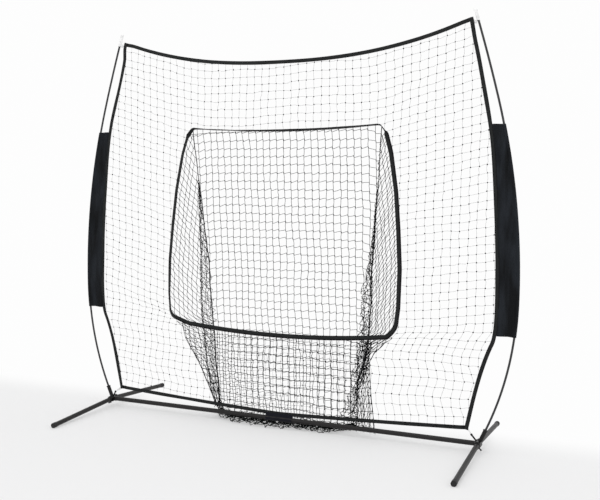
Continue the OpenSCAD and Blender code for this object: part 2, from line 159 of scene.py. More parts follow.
class Finish:
    """A Principled material and the few node steps that the finishes below share."""

    def __init__(self, name, colour, rough, specular=0.5, metal=0.0, sheen=0.0, coat=0.0):
        self.material = bpy.data.materials.new(name)
        self.material.use_nodes = True
        self.tree = self.material.node_tree
        self.shader = self.tree.nodes["Principled BSDF"]
        self.colour = colour
        self.height = None
        self.tone = None
        self.shader.inputs["Base Color"].default_value = (*colour, 1)
        self.shader.inputs["Roughness"].default_value = rough
        self.shader.inputs["Specular IOR Level"].default_value = specular
        self.shader.inputs["Metallic"].default_value = metal
        self.shader.inputs["Sheen Weight"].default_value = sheen
        self.shader.inputs["Sheen Roughness"].default_value = 0.4
        self.shader.inputs["Coat Weight"].default_value = coat
        self.shader.inputs["Coat Roughness"].default_value = 0.15
        self.place = self.tree.nodes.new("ShaderNodeTexCoord")

    def node(self, kind, **values):
        made = self.tree.nodes.new(kind)
        for key, value in values.items():
            if hasattr(made, key):
                setattr(made, key, value)
            else:
                made.inputs[key.replace("_", " ")].default_value = value
        return made

    def link(self, out, into):
        self.tree.links.new(out, into)

    def noise(self, scale, detail, stretch=(1, 1, 1), turn=(0, 0, 0)):
        mapping = self.node("ShaderNodeMapping", Scale=stretch, Rotation=turn)
        self.link(self.place.outputs["Object"], mapping.inputs["Vector"])
        made = self.node("ShaderNodeTexNoise", Scale=scale, Detail=detail)
        self.link(mapping.outputs["Vector"], made.inputs["Vector"])
        return made.outputs["Fac"]

    def wave(self, scale, direction, distortion):
        made = self.node("ShaderNodeTexWave", Scale=scale, Distortion=distortion)
        made.bands_direction = direction
        self.link(self.place.outputs["UV"], made.inputs["Vector"])
        return made.outputs["Fac"]

    def math(self, operation, a, b):
        made = self.node("ShaderNodeMath", operation=operation)
        for socket, value in zip(made.inputs, (a, b)):
            if isinstance(value, (int, float)):
                socket.default_value = value
            else:
                self.link(value, socket)
        return made.outputs["Value"]

    def ramp(self, value, start=0.0, end=1.0, low=0.0, high=1.0, kind="LINEAR"):
        """Maps value from start..end to low..high and holds it at both ends."""
        made = self.node(
            "ShaderNodeMapRange", interpolation_type=kind,
            From_Min=start, From_Max=end, To_Min=low, To_Max=high,
        )
        self.link(value, made.inputs["Value"])
        return made.outputs["Result"]

    def add_tone(self, value, dark, light, reach=0.2):
        """Multiplies the colour by dark to light as value passes its middle."""
        out = self.ramp(value, 0.5 - reach, 0.5 + reach, dark, light)
        self.tone = out if self.tone is None else self.math("MULTIPLY", self.tone, out)

    def add_height(self, value, amount):
        scaled = self.math("MULTIPLY", value, amount)
        self.height = scaled if self.height is None else self.math("ADD", self.height, scaled)

    def vary_roughness(self, value, low, high):
        self.link(self.ramp(value, low=low, high=high), self.shader.inputs["Roughness"])

    def done(self, depth, tint=None, tint_by=None):
        """Joins up colour, tint and bump; depth is the bump's height in metres."""
        if tint is not None:
            blend = self.node("ShaderNodeMix", data_type="RGBA")
            blend.inputs[6].default_value = (*self.colour, 1)
            blend.inputs[7].default_value = (*tint, 1)
            self.link(tint_by, blend.inputs[0])
            base = blend.outputs[2]
        else:
            rgb = self.node("ShaderNodeRGB")
            rgb.outputs[0].default_value = (*self.colour, 1)
            base = rgb.outputs[0]
        if self.tone is not None:
            scale = self.node("ShaderNodeVectorMath", operation="SCALE")
            self.link(base, scale.inputs[0])
            self.link(self.tone, scale.inputs["Scale"])
            base = scale.outputs["Vector"]
        self.link(base, self.shader.inputs["Base Color"])
        if self.height is not None:
            bump = self.node("ShaderNodeBump")
            bump.inputs["Distance"].default_value = depth
            self.link(self.height, bump.inputs["Height"])
            self.link(bump.outputs["Normal"], self.shader.inputs["Normal"])
        return self.material


def powder_coat(name, colour):
    f = Finish(name, colour, 0.42, specular=0.27)
    peel = f.noise(900, 2)
    scuff = f.noise(14, 6)
    f.add_tone(scuff, 0.82, 1.2)
    f.add_tone(f.noise(300, 2), 0.93, 1.08)
    f.add_height(peel, 0.5)
    f.vary_roughness(scuff, 0.34, 0.56)
    return f.done(0.0004, tint=tuple(c * 2.1 for c in colour), tint_by=worn(f))


def worn(f):
    """Thin pale rubbing in scattered spots."""
    return f.ramp(f.noise(46, 8), 0.64, 0.78)


def moulded_rubber(name, colour):
    f = Finish(name, colour, 0.62, specular=0.35)
    f.add_tone(f.noise(60, 5), 0.8, 1.25)
    f.add_height(f.noise(1400, 2), 0.4)
    f.vary_roughness(f.noise(35, 4), 0.5, 0.75)
    return f.done(0.0004, tint=(0.09, 0.088, 0.085), tint_by=worn(f))


def zinc_plate(name, colour):
    f = Finish(name, colour, 0.34, metal=1.0)
    f.add_tone(f.noise(180, 4), 0.82, 1.1)
    f.add_height(f.noise(700, 2, stretch=(1, 1, 0.1)), 0.3)
    f.vary_roughness(f.noise(90, 4), 0.26, 0.46)
    return f.done(0.0003)


def matt_plastic(name, colour, rough=0.5):
    f = Finish(name, colour, rough, specular=0.22)
    f.add_tone(f.noise(80, 4), 0.88, 1.12)
    f.add_height(f.noise(1100, 2), 0.35)
    return f.done(0.0003)


def pultruded_rod(name, colour):
    f = Finish(name, colour, 0.33, specular=0.45, coat=0.12)
    f.add_tone(f.noise(260, 4, stretch=(1, 1, 0.04)), 0.75, 1.3)
    f.add_height(f.noise(900, 2, stretch=(1, 1, 0.03)), 0.3)
    f.vary_roughness(f.noise(50, 3), 0.28, 0.42)
    return f.done(0.0003)


def webbing(name, colour, edge=None):
    """Woven tape: ribs across it, a finer warp along it; UV is metres across and along."""
    rib = 420
    f = Finish(name, colour, 0.82, specular=0.16, sheen=0.12)
    ribs = f.wave(rib / 6.28, "Y", 0.6)
    warp = f.wave(rib / 3.9, "X", 0.4)
    f.add_tone(f.noise(25, 5), 0.82, 1.2)
    f.add_tone(ribs, 0.86, 1.12)
    f.add_height(ribs, 0.7)
    f.add_height(warp, 0.35)
    f.add_height(f.noise(1600, 2), 0.3)
    if edge is None:
        return f.done(0.0006)
    return f.done(0.0006, tint=edge, tint_by=band_edges(f))


def band_edges(f):
    """1 along both edges of a hem's first face and all over its other one; U is metres round it."""
    split = f.node("ShaderNodeSeparateXYZ")
    f.link(f.place.outputs["UV"], split.inputs["Vector"])
    centred = f.math("ABSOLUTE", f.math("SUBTRACT", split.outputs["X"], HEM_W / 2), 0)
    return f.ramp(centred, 0.30 * HEM_W, 0.40 * HEM_W)


def loop_pile(name, colour):
    f = Finish(name, colour, 0.88, specular=0.12, sheen=0.2)
    f.add_tone(f.noise(900, 4), 0.7, 1.35)
    f.add_tone(f.noise(30, 4), 0.9, 1.12)
    f.add_height(f.noise(1500, 4), 0.9)
    return f.done(0.0008)


def coated_cloth(name, colour, tint):
    """Plain-weave coated cloth: a fine weave, soft creases with painted highlights and painted shade
    along them, and a slight sheen.
    """
    f = Finish(name, colour, 0.5, specular=0.11)
    warp = f.wave(260, "X", 0.5)
    weft = f.wave(260, "Y", 0.5)
    crease = f.noise(12, 4, stretch=(1.8, 1, 0.32), turn=(0, 0.42, 0))
    # Painted highlights and painted shade: the colour is made lighter and darker along the creases.
    f.add_tone(crease, 0.5, 2.2, reach=0.12)
    f.add_tone(f.noise(220, 3), 0.93, 1.07)
    f.add_height(warp, 0.16)
    f.add_height(weft, 0.16)
    f.add_height(crease, 1.6)
    f.vary_roughness(crease, 0.48, 0.7)
    return f.done(0.0009, tint=tint, tint_by=f.noise(5, 3))


def twine(name, colour, pitch=380):
    """Laid twine: slanting plies, with a little fuzz and uneven dye."""
    f = Finish(name, colour, 0.85, specular=0.12)
    plies = f.wave(pitch / 6.28, "DIAGONAL", 0.3)
    f.add_tone(f.noise(40, 4), 0.75, 1.3)
    f.add_tone(plies, 0.8, 1.15)
    f.add_height(plies, 0.8)
    f.add_height(f.noise(2200, 2), 0.3)
    return f.done(0.0003)


def make_materials():
    return {
        "frame_steel": powder_coat("frame_steel", (0.0125, 0.0115, 0.0115)),
        "hub_casting": powder_coat("hub_casting", (0.007, 0.0065, 0.0065)),
        "foot_rubber": moulded_rubber("foot_rubber", (0.012, 0.012, 0.012)),
        "zinc_steel": zinc_plate("zinc_steel", (0.05, 0.05, 0.05)),
        "spring_steel": zinc_plate("spring_steel", (0.36, 0.36, 0.38)),
        "liner_plastic": matt_plastic("liner_plastic", (0.012, 0.012, 0.012)),
        "pole_fibreglass": pultruded_rod("pole_fibreglass", (0.013, 0.014, 0.015)),
        "hook_coating": matt_plastic("hook_coating", (0.003, 0.003, 0.003), 0.45),
        "white_webbing": webbing("white_webbing", (0.84, 0.84, 0.84)),
        "black_webbing": webbing(
            "black_webbing", (0.0150, 0.0165, 0.0165), edge=(0.006, 0.0045, 0.006)
        ),
        "strap_fabric": loop_pile("strap_fabric", (0.008, 0.0085, 0.013)),
        "sleeve_fabric": coated_cloth(
            "sleeve_fabric", (0.0056, 0.0068, 0.0092), (0.0075, 0.0088, 0.0105)
        ),
        "face_twine": twine("face_twine", (0.012, 0.012, 0.013)),
        "pocket_twine": twine("pocket_twine", (0.006, 0.006, 0.007), 260),
        # The pile's twine: darker and greener than the pocket's twine; the darkness is painted shade
        # inside the pile.
        "shaded_bunch_twine": twine("shaded_bunch_twine", (0.003, 0.0055, 0.005), 260),
        "thread": twine("thread", (0.022, 0.024, 0.026), 900),
    }


CAD_FINISH = {
    "frame_steel": ["crossbar", "leg"],
    "hub_casting": ["hub", "socket", "tongue"],
    "foot_rubber": ["foot"],
    "zinc_steel": ["bolts", "nuts", "rivet", "ferrule", "button"],
    "spring_steel": ["spring"],
    "liner_plastic": ["liner", "connector"],
    "pole_fibreglass": ["pole"],
    "hook_coating": ["hook"],
}


def dress_cad():
    """Gives each hard CAD node its finish."""
    for name, node in nodes.items():
        last = name.split("_")[-1]
        for slot, words in CAD_FINISH.items():
            if last in words:
                node.data.materials.clear()
                node.data.materials.append(finishes[slot])


# ---- Mesh helpers

def smooth_step(low, high, value):
    t = np.clip((value - low) / (high - low), 0, 1)
    return t * t * (3 - 2 * t)


def unit(vectors):
    return vectors / np.maximum(np.linalg.norm(vectors, axis=-1, keepdims=True), 1e-12)


def lengths(path):
    """The distance along a polyline [n, d] at each of its points."""
    return np.concatenate([[0], np.cumsum(np.linalg.norm(np.diff(path, axis=0), axis=1))])


def ripple(points, size, seed):
    """Smooth repeatable variation at points [..., 2], mostly within 1, in waves about size long."""
    made = np.random.default_rng(seed)
    total = np.zeros(points.shape[:-1])
    for _ in range(7):
        angle, phase = made.uniform(0, 2 * math.pi, 2)
        pace = made.uniform(0.6, 1.5) * 2 * math.pi / size
        total += np.sin(
            pace * (points[..., 0] * math.cos(angle) + points[..., 1] * math.sin(angle)) + phase
        )
    return total / 3.6


class Shape:
    """Collects vertices, faces and UVs, and makes one object of them."""

    def __init__(self):
        self.points, self.faces, self.uvs = [], [], []
        self.count = 0

    def add(self, points, faces, uvs):
        """points [n, 3]; faces a list of index arrays [m, k]; uvs one [m, k, 2] array each."""
        self.points.append(points.reshape(-1, 3))
        for face, uv in zip(faces, uvs):
            self.faces.append(face + self.count)
            self.uvs.append(uv)
        self.count += len(self.points[-1])

    def tubes(self, paths, radius, sides=5):
        """A capped tube along each of paths [s, k, 3]."""
        s, k, _ = paths.shape
        along = unit(np.gradient(paths, axis=1))
        mean = unit(along.mean(axis=1))
        aside = np.where(np.abs(mean[:, 1:2]) > 0.8, [[1.0, 0, 0]], [[0, 1.0, 0]])[:, None, :]
        first = unit(np.cross(along, aside))
        second = np.cross(along, first)
        turn = np.linspace(0, 2 * math.pi, sides, endpoint=False)
        radius = np.broadcast_to(np.asarray(radius, float), (s, k))[:, :, None, None]
        rings = paths[:, :, None] + radius * (
            np.cos(turn)[:, None] * first[:, :, None] + np.sin(turn)[:, None] * second[:, :, None]
        )
        ids = np.arange(s * k * sides).reshape(s, k, sides)
        nxt = np.roll(ids, -1, axis=2)
        walls = np.stack([ids[:, :-1], nxt[:, :-1], nxt[:, 1:], ids[:, 1:]], -1).reshape(-1, 4)
        step = np.linalg.norm(np.diff(paths, axis=1), axis=2)
        far = np.concatenate([np.zeros((s, 1)), np.cumsum(step, axis=1)], 1)
        girth = 2 * math.pi * float(radius.mean())
        u0 = np.arange(sides) * girth / sides
        u1 = u0 + girth / sides
        v0 = np.broadcast_to(far[:, :-1, None], (s, k - 1, sides))
        v1 = np.broadcast_to(far[:, 1:, None], (s, k - 1, sides))
        u0, u1 = np.broadcast_to(u0, v0.shape), np.broadcast_to(u1, v0.shape)
        uv = np.stack([np.stack(c, -1) for c in ((u0, v0), (u1, v0), (u1, v1), (u0, v1))], 3)
        caps = np.concatenate([ids[:, 0, ::-1], ids[:, -1]])
        self.add(
            rings, [walls, caps], [uv.reshape(-1, 4, 2), np.zeros((len(caps), sides, 2))]
        )

    def blobs(self, centres, size):
        """A small rounded knot of half sizes [n, 3] at each of centres [n, 3]."""
        n, sides = len(centres), 6
        made = np.random.default_rng(3)
        turn = np.linspace(0, 2 * math.pi, sides, endpoint=False)
        unit_points = [[0, 0, 1.0]]
        for level, wide in ((0.5, 0.87), (-0.5, 0.87)):
            unit_points += [[wide * math.cos(t), wide * math.sin(t), level] for t in turn]
        unit_points += [[0, 0, -1.0]]
        shape = np.array(unit_points)
        spin = made.uniform(-0.6, 0.6, (n, 1))
        scaled = shape[None] * np.broadcast_to(np.asarray(size, float), (n, 3))[:, None]
        x = scaled[..., 0] * np.cos(spin) - scaled[..., 2] * np.sin(spin)
        z = scaled[..., 0] * np.sin(spin) + scaled[..., 2] * np.cos(spin)
        points = np.stack([x, scaled[..., 1], z], -1) + centres[:, None]
        base = (np.arange(n) * len(shape))[:, None]
        k = np.arange(sides)
        after = (k + 1) % sides
        top = np.stack([0 * k, 1 + k, 1 + after], 1)
        side = np.stack([1 + k, 1 + sides + k, 1 + sides + after, 1 + after], 1)
        low = np.stack([1 + sides + k, 0 * k + 2 * sides + 1, 1 + sides + after], 1)
        faces = [(base[:, :, None] + f[None]).reshape(-1, f.shape[1]) for f in (top, side, low)]
        self.add(points, faces, [np.zeros((len(f), f.shape[1], 2)) for f in faces])

    def loft(self, rings, closed_path=False):
        """Skin through closed rings [k, m, 3]. The ends are capped where the path is open."""
        k, m, _ = rings.shape
        ids = np.arange(k * m).reshape(k, m)
        below, above = (ids, np.roll(ids, -1, 0)) if closed_path else (ids[:-1], ids[1:])
        faces = np.stack([below, np.roll(below, -1, 1), np.roll(above, -1, 1), above], -1)
        wrapped = np.concatenate([rings, rings[:, :1]], 1)
        steps = np.linalg.norm(np.diff(wrapped, axis=1), axis=2).mean(axis=0)
        across = np.concatenate([[0], np.cumsum(steps)])
        middle = rings.mean(axis=1)
        far = lengths(np.concatenate([middle, middle[:1]]) if closed_path else middle)
        u0, u1, v0, v1 = across[:-1], across[1:], far[:-1], far[1:]
        grid = np.zeros((len(below), m, 4, 2))
        for corner, (u, v) in enumerate(((u0, v0), (u1, v0), (u1, v1), (u0, v1))):
            grid[:, :, corner, 0] = u[None]
            grid[:, :, corner, 1] = v[:, None]
        all_faces, all_uvs = [faces.reshape(-1, 4)], [grid.reshape(-1, 4, 2)]
        if not closed_path:
            all_faces.append(np.stack([ids[0, ::-1], ids[-1]]))
            all_uvs.append(np.zeros((2, m, 2)))
        self.add(rings, all_faces, all_uvs)

    def make(self, name, slot, *replaced, finish=None):
        """One object that rides on the base, takes the slot and stands for the CAD nodes."""
        mesh = bpy.data.meshes.new(name)
        points = np.concatenate(self.points)
        loops = np.concatenate([f.reshape(-1) for f in self.faces])
        sizes = np.concatenate([np.full(len(f), f.shape[1]) for f in self.faces])
        uvs = np.concatenate([u.reshape(-1, 2) for u in self.uvs])
        mesh.vertices.add(len(points))
        mesh.vertices.foreach_set("co", points.astype(np.float32).ravel())
        mesh.loops.add(len(loops))
        mesh.loops.foreach_set("vertex_index", loops.astype(np.int32))
        mesh.polygons.add(len(sizes))
        starts = np.concatenate([[0], np.cumsum(sizes)[:-1]])
        mesh.polygons.foreach_set("loop_start", starts.astype(np.int32))
        mesh.polygons.foreach_set("use_smooth", np.ones(len(sizes), bool))
        layer = mesh.uv_layers.new(name="UVMap")
        mesh.update(calc_edges=True)
        layer.data.foreach_set("uv", uvs.astype(np.float32).ravel())
        mesh.validate()
        mesh.materials.append(finishes[finish or slot])
        piece = new_object(name, mesh)
        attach(piece, "base")
        if replaced:
            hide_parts(*replaced)
        return piece


# ---- Outlines taken from the CAD

def cad_points(node):
    return np.array([v.co for v in nodes[node].data.vertices])


def outline_by(node, key, value):
    """Mid value at each key of a flat CAD strip's corners, sorted by key; axes are 0, 1 or 2."""
    points = cad_points(node)
    keys = np.round(points[:, key], 4)
    levels = np.unique(keys)
    mids = [
        (points[keys == k, value].min() + points[keys == k, value].max()) / 2 for k in levels
    ]
    return levels, np.array(mids)


def rounded(points, rounds, closed=True):
    """Corner cutting, which turns an outline into a smooth curve."""
    for _ in range(rounds):
        after = np.roll(points, -1, axis=0)
        near, far = points * 0.75 + after * 0.25, points * 0.25 + after * 0.75
        both = np.stack([near, far], 1).reshape(-1, points.shape[1])
        points = both if closed else np.concatenate([points[:1], both[:-2], points[-1:]])
    return points


def resample(points, step, closed=False):
    """Evenly spaced points along a polyline."""
    line = np.concatenate([points, points[:1]]) if closed else points
    far = lengths(line)
    count = max(4, int(round(far[-1] / step)))
    at = np.linspace(0, far[-1], count, endpoint=not closed)
    return np.stack([np.interp(at, far, line[:, i]) for i in range(line.shape[1])], 1)


def inside(polygon, points):
    """Whether each of points [..., 2] is inside the closed polygon [n, 2]."""
    x, z = points[..., 0], points[..., 1]
    hit = np.zeros(x.shape, bool)
    for (x0, z0), (x1, z1) in zip(polygon, np.roll(polygon, -1, axis=0)):
        if z0 == z1:
            continue
        crosses = (z0 > z) != (z1 > z)
        hit ^= crosses & (x < x0 + (z - z0) * (x1 - x0) / (z1 - z0))
    return hit


SIDE_Z, SIDE_X = outline_by("right_hem", 2, 0)
TOP_X, TOP_Z = outline_by("top_hem", 0, 2)
LOW_X, LOW_Z = outline_by("bottom_hem", 0, 2)


def side_line(sign):
    """The side edge of the net, from the bottom corner to the top one, as [n, 2] x and z.

    The net is slacker at the left, where the edge runs in further below the top corner.
    """
    line = rounded(np.stack([sign * SIDE_X, SIDE_Z], 1), 3, closed=False)
    drop = SIDE_Z[-1] - line[:, 1]
    if sign < 0:
        line[:, 0] += 0.019 * smooth_step(0.02, 0.12, drop) * smooth_step(0.50, 0.16, drop)
        line[:, 1] -= 0.006 * smooth_step(0.05, 0, drop)
    else:
        line[:, 0] += 0.007 * smooth_step(0.12, 0, drop)
    return line


def lapped(x, z, x_end):
    """A hem's line [n, 2] carried on at both ends until it laps over the side hems."""
    slope = (z[-1] - z[-2]) / (x[-1] - x[-2])
    reach = x_end - x[-1]
    end = z[-1] + slope * reach
    x, z = np.concatenate([[-x_end], x, [x_end]]), np.concatenate([[end], z, [end]])
    return rounded(np.stack([x, z], 1), 2, closed=False)


def top_line():
    line = lapped(TOP_X, TOP_Z, SIDE_X[-1] + HEM_W / 2)
    line[:, 1] -= 0.006 * smooth_step(-0.94, -1.0, line[:, 0])
    return line


def low_line():
    lift = 0.005 * (1 - np.abs(LOW_X) / LOW_X.max())
    return lapped(LOW_X, LOW_Z + lift, SIDE_X[0] + HEM_W / 2)


def opening_loop():
    """The opening's edge as a closed loop [n, 2], anticlockwise from the bottom left corner."""
    low_x, low_z = outline_by("opening_bottom_hem", 0, 2)
    low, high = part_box("opening_top_hem")
    half = (high.x - low.x) / 2 - 0.016
    top_x = np.linspace(half, -half, 9)
    top_z = (low.z + high.z) / 2 + OPENING_CROWN / 2 - OPENING_CROWN * (1 - (top_x / half) ** 2)
    sides = []
    for side in ("right", "left"):
        z, x = outline_by(f"opening_{side}_hem", 2, 0)
        sides.append(np.stack([x, z], 1)[1:])
    loop = np.concatenate([
        np.stack([low_x, low_z], 1)[1:], sides[0], np.stack([top_x, top_z], 1), sides[1][::-1]
    ])
    fine = resample(loop, 0.016, closed=True)
    return resample(rounded(fine, 3), 0.010, closed=True)


OUTER = np.concatenate([
    side_line(1), top_line()[::-1], side_line(-1)[::-1], low_line()
])
OPENING = opening_loop()


def opening_part(flags, axis):
    """The flagged part of the opening's edge, sorted along an axis, as its x and its z."""
    part = OPENING[flags]
    return part[np.argsort(part[:, axis])].T


def upright(flat):
    """Points [n, 3] in the plane of the net, from x and z [n, 2]."""
    return np.stack([flat[:, 0], 0 * flat[:, 0], flat[:, 1]], -1)


# ---- Netting

def bend(paths, size, seed, kink, sag):
    """Gives straight strands [n, k, 3] a bow, an S-bend, a hang and a step at the knots."""
    made = np.random.default_rng(seed)
    n, k, _ = paths.shape
    t = np.linspace(0, 1, k)[None, :, None]
    bow, swing = np.sin(math.pi * t), np.sin(2 * math.pi * t)
    along = unit(paths[:, -1:] - paths[:, :1])
    side = made.normal(0, size, (2, n, 1, 3)) * [[[1, 0.7, 1]]]
    side = side - along * (side * along).sum(axis=3, keepdims=True)
    level = np.abs(along[..., 2:]) < 0.75
    lift = np.array([0, 0, 1.0])
    step = kink * (2 * t - 1) * level * np.sign(along[..., :1])
    return paths + side[0] * bow + side[1] * 0.5 * swing + lift * (step - sag * bow * level)


def between(a, b):
    t = np.linspace(0, 1, 5)[None, :, None]
    return a.reshape(-1, 1, 3) * (1 - t) + b.reshape(-1, 1, 3) * t


def clip(paths, keep):
    """Cuts each path where it leaves the region, and drops those that are wholly outside."""
    k = paths.shape[1]
    flags = keep(paths)
    first, last = flags[:, 0], flags[:, -1]
    parts = [paths[first & last]]
    for part in (paths[first & ~last], paths[last & ~first][:, ::-1]):
        low, high = np.zeros(len(part)), np.ones(len(part))
        for _ in range(9):
            mid = (low + high) / 2
            good = keep(at_share(part, mid))
            low, high = np.where(good, mid, low), np.where(good, high, mid)
        parts.append(at_share(part, np.linspace(0, 1, k)[None] * low[:, None]))
    return np.concatenate(parts)


def at_share(paths, share):
    """Points at shares 0 to 1 of the paths [s, k, 3]; share is [s] or [s, n]."""
    k = paths.shape[1]
    flat = share.reshape(len(paths), -1) * (k - 1)
    i = np.clip(flat.astype(int), 0, k - 2)
    f = (flat - i)[..., None]
    rows = np.arange(len(paths))[:, None]
    found = paths[rows, i] * (1 - f) + paths[rows, i + 1] * f
    return found[:, 0] if share.ndim == 1 else found


def at_shares(path, share):
    """Points at shares [n] of one path [k, 3]."""
    return at_share(path[None], share[None])[0]


def weave(knots, keep=None, warp=None, *, slack, seed, kink=0.0, sag=0.0):
    """Strands and knots of a net whose knots are [rows, columns, 3]: cut by keep, then warped."""
    paths = np.concatenate([
        between(knots[:, :-1], knots[:, 1:]), between(knots[:-1], knots[1:])
    ])
    paths = bend(paths, slack, seed, kink, sag)
    places = knots.reshape(-1, 3)
    if keep is not None:
        paths, places = clip(paths, keep), places[keep(places)]
    if warp is not None:
        paths, places = warp(paths), warp(places)
    return paths, places


def joined(nets):
    """Several nets as one."""
    return [np.concatenate(group) for group in zip(*nets)]


def tie_net(name, net, *replaced, radius, knot, slot="pocket_twine", finish=None):
    """One piece of a net's strands and knots; knot is a knot's size over the twine's radius."""
    paths, places = net
    shape = Shape()
    shape.tubes(paths, radius)
    size = radius * knot * rng.uniform(0.85, 1.2, (len(places), 1)) * np.array([[1, 0.85, 1.15]])
    shape.blobs(places, size)
    shape.make(name, slot, *replaced, finish=finish)


def climb_at(z, sign):
    """How much the rows of the face net climb towards one side at height z, as a slope."""
    if sign < 0:
        return 0.09 + 0.19 * smooth_step(0.55, 0.75, z)
    low_part = 0.12 * smooth_step(0.35, 0.05, z)
    return low_part + 0.13 * smooth_step(0.48, 0.70, z) + 0.12 * smooth_step(0.9, 1.8, z)


def drift_at(z):
    """How far the slack columns beside the pocket hang aside at height z: a lean and a wave."""
    wave = 0.012 * np.cos(2 * math.pi * (z - 0.25) / 0.20)
    return -(0.060 + wave) * smooth_step(0.63, 0.53, z)


def face_knots():
    """Knot places of the whole face net, [rows, columns, 3], before it is cut to the frame."""
    reach, sharp = 1.10, 30
    columns = np.arange(-29, 30) * MESH + 0.006
    rows = np.arange(0, 56) * MESH * 0.985 + 0.045
    x, z = np.meshgrid(columns, rows)
    right = smooth_step(-0.25, 0.25, x)
    climb = climb_at(z, -1) * (1 - right) + climb_at(z, 1) * right
    width = np.logaddexp(np.abs(x) * sharp, 0.5 * sharp) / sharp
    drift = drift_at(z) * smooth_step(0.3, 0.6, x)
    zigzag = 0.010 * np.interp((rows / MESH) % 5, [0, 2, 3, 5], [-1, 1, 0.2, -1])[:, None]
    drift = drift - zigzag * smooth_step(0.3, 0.7, -x) * smooth_step(1.0, 0.5, z)
    flat = np.stack([x, z], -1)
    x = x + drift + 0.0035 * ripple(flat, 0.5, 1) + rng.normal(0, 0.0016, x.shape)
    z = z - climb * (reach - width) + 0.004 * ripple(flat, 0.45, 2) + rng.normal(0, 0.0016, x.shape)
    return np.stack([x, 0.004 * ripple(flat, 0.6, 4), z], -1)


def face_region(points):
    flat = points[..., [0, 2]]
    return inside(OUTER, flat) & ~inside(OPENING, flat)


def make_face_net():
    """The face net in four pieces, one for each CAD plate."""
    paths, places = weave(face_knots(), face_region, slack=0.0016, seed=21)
    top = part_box("net_top")[0].z
    low = OPENING[:, 1].min() + 0.03

    def part_of(points):
        x, z = points[:, 0], points[:, 2]
        return np.where(z > top, 0, np.where(z < low, 1, np.where(x < 0, 2, 3)))

    path_part, place_part = part_of(paths[:, 2]), part_of(places)
    for index, node in enumerate(["net_top", "net_bottom", "net_left", "net_right"]):
        net = paths[path_part == index], places[place_part == index]
        tie_net(node + "_twine", net, node, radius=FACE_TWINE, knot=7.2, slot="face_twine")


# ---- Pocket

BACK_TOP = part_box("pocket_back")[1].z
BACK_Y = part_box("pocket_back")[1].y - 0.02
PILE_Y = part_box("pocket_floor")[0].y

# The pocket's shape as [height, distance from the middle]: where the corded seams of its back
# run, and how far its hanging front reaches below the opening. A bunched rope of net pulls the
# right side in, down to a knot from which it spreads again.
SEAM = {
    -1: [[0.0, 0.46], [0.5, 0.48], [0.9, 0.495], [1.3, 0.53], [1.65, 0.56]],
    1: [[0.0, 0.41], [0.25, 0.40], [0.35, 0.44], [0.55, 0.475], [0.9, 0.495], [1.3, 0.53],
        [1.65, 0.56]],
}
FRONT = {
    -1: [[0.0, 0.36], [0.1, 0.42], [0.25, 0.49], [0.35, 0.54], [0.45, 0.60], [0.55, 0.63]],
    1: [[0.0, 0.55], [0.2, 0.52], [0.4, 0.51], [0.45, 0.535], [0.5, 0.585], [0.55, 0.62]],
}


def at_height(outline, z):
    """The value at height z of an outline, which is rows of height and value."""
    outline = np.array(outline)
    return np.interp(z, outline[:, 0], outline[:, 1])


def back_depth(z):
    """How far behind the face the pocket's back hangs at height z."""
    return 0.012 + (BACK_Y - 0.012) * np.clip((BACK_TOP - z) / BACK_TOP, 0, 1)


def seam_at(sign, z):
    return np.stack([sign * at_height(SEAM[sign], z), back_depth(z)], -1)


def front_at(sign, z):
    """The front edge of a side panel: the opening's side, and below it the hanging front."""
    side_x, side_z = opening_part(np.sign(OPENING[:, 0]) == sign, 1)
    upper = np.interp(np.maximum(z, 0.66), side_z, side_x)
    high = smooth_step(0.50, 0.58, z)
    x = upper * high + sign * at_height(FRONT[sign], z) * (1 - high)
    return np.stack([x, np.interp(z, [0.03, 0.2, 0.5, 0.6], [0.03, 0.03, 0.01, 0.004])], -1)


def settle(points):
    """Keeps netting off the ground."""
    lifted = points.copy()
    lifted[..., 2] = np.maximum(points[..., 2], CLEAR)
    return lifted


def make_back():
    """The back panel: even squares, arched down at the seams, each row stepping at its knots."""
    columns, rows = np.arange(-14, 15) * 0.0405, BACK_TOP + 0.040 - np.arange(0, 39) * 0.0445
    x, z = np.meshgrid(columns, rows)
    half = at_height(SEAM[1], z)
    flat = np.stack([x, z], -1)
    slack = 0.002 + 0.004 * smooth_step(0.75, 0.25, z)
    droop = 0.012 * smooth_step(0.09, 0, half + x) + 0.026 * smooth_step(0.07, 0, half - x)
    y = back_depth(z) + 0.010 * ripple(flat, 0.6, 7) * smooth_step(1.6, 1.2, z)
    y = y - 0.010 * smooth_step(1.58, 1.62, z)
    edge = opening_part(OPENING[:, 1] > 1.615, 0)
    x = x + slack * ripple(flat, 0.35, 5) + rng.normal(0, 0.0013, x.shape)
    z = z - droop + slack * ripple(flat, 0.4, 6) + rng.normal(0, 0.0013, x.shape)

    def keep(points):
        x, z = points[..., 0], points[..., 2]
        within = (x > -at_height(SEAM[-1], z)) & (x < at_height(SEAM[1], z))
        return within & (z < np.interp(x, *edge)) & (z > 0.01)

    net = weave(np.stack([x, y, z], -1), keep, settle, slack=0.0012, kink=0.0052, seed=31)
    tie_net("pocket_back_netting", net, "pocket_back", radius=POCKET_TWINE, knot=2.3)


